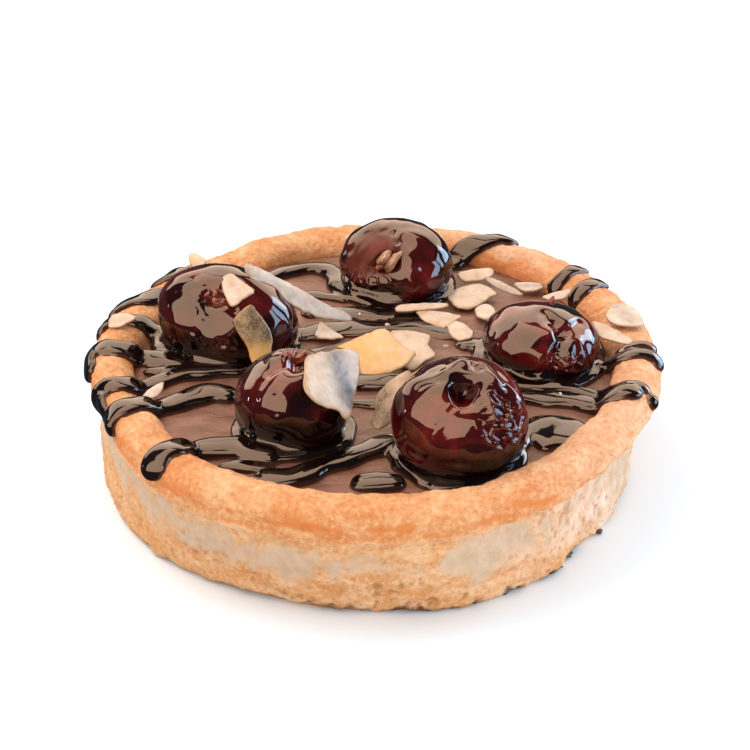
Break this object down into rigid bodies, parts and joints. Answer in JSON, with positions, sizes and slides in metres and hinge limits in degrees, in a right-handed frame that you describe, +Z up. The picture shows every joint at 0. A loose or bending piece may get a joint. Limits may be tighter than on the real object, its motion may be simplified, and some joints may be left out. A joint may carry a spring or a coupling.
{
  "type": "chocolate cherry tart",
  "caption": "Round shortcrust tart shell filled with chocolate, topped with glossy pitted cherries, almond flakes and a dark chocolate drizzle.",
  "frame": {"origin": "On the underside of the shell, below the middle of the tart's outline", "axes": "+Z up, -Y towards the front of the tart, +X to the right seen from the front"},
  "size_m": [0.0995, 0.0999, 0.036],
  "materials": {
    "pastry": "matte, crumbly",
    "chocolate": "satin",
    "cherry": "wet gloss",
    "almond": "satin, translucent",
    "sauce": "gloss"
  },
  "bodies": {
    "root": {"pastry_shell": "pastry", "chocolate_filling": "chocolate", "cherry_left": "cherry", "cherry_back": "cherry", "cherry_right": "cherry", "cherry_middle": "cherry", "cherry_front": "cherry", "almond_flake_01": "almond", "almond_flake_02": "almond", "almond_flake_03": "almond", "almond_flake_04": "almond", "almond_flake_05": "almond", "almond_flake_06": "almond", "almond_flake_07": "almond", "almond_flake_08": "almond", "almond_flake_09": "almond", "almond_flake_10": "almond", "almond_flake_11": "almond", "almond_flake_12": "almond", "almond_flake_13": "almond", "almond_flake_14": "almond", "almond_flake_15": "almond", "almond_flake_16": "almond", "almond_flake_17": "almond", "almond_flake_18": "almond", "almond_flake_19": "almond", "almond_flake_20": "almond", "almond_flake_21": "almond", "almond_flake_22": "almond"}
  },
  "joints": []
}
